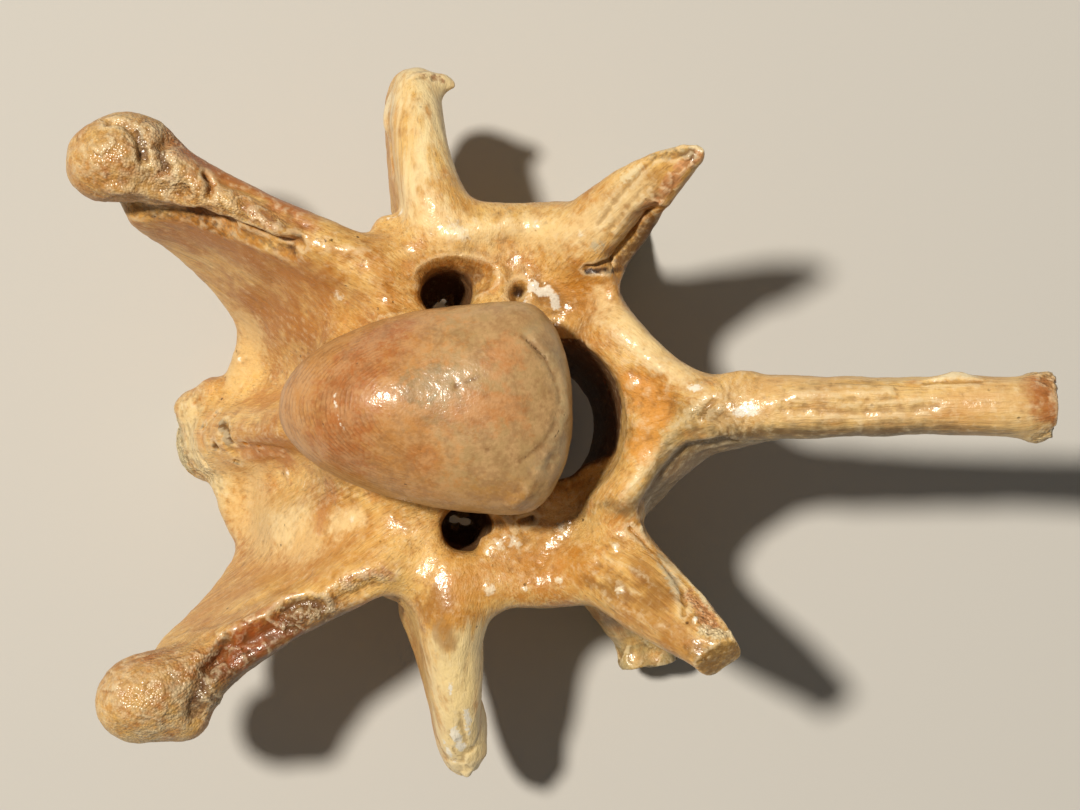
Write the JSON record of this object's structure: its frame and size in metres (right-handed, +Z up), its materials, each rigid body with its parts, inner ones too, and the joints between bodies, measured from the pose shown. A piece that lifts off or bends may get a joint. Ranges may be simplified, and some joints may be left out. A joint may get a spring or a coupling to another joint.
{
  "type": "fossil bison neck vertebra",
  "caption": "Fossil neck vertebra of a large bison, lying on its caudal end with the domed cranial head, canal, wings and long spine facing up; a still display bone.",
  "frame": {"origin": "on the floor, under the middle of the bone's box as it lies on its caudal end", "axes": "+Z up, which is cranial; +X dorsal, along the spinous process; +Y the animal's right"},
  "size_m": [0.2386, 0.1838, 0.116],
  "materials": {
    "bone": "mineralised fossil bone, amber to tan, under a thin clear consolidant that leaves it glossy",
    "head_bone": "smooth articular bone, grey brown to red brown, glossy"
  },
  "bodies": {
    "root": {"cranial_head": "head_bone", "centrum": "bone", "ventral_crest_tubercle": "bone", "neural_arch": "bone", "spinous_process": "bone", "ventral_branch_right": "bone", "ventral_branch_left": "bone", "dorsal_tubercle_right": "bone", "dorsal_tubercle_left": "bone", "cranial_articular_process_right": "bone", "cranial_articular_process_left": "bone", "caudal_articular_process_right": "bone", "caudal_articular_process_left": "bone"}
  },
  "joints": []
}
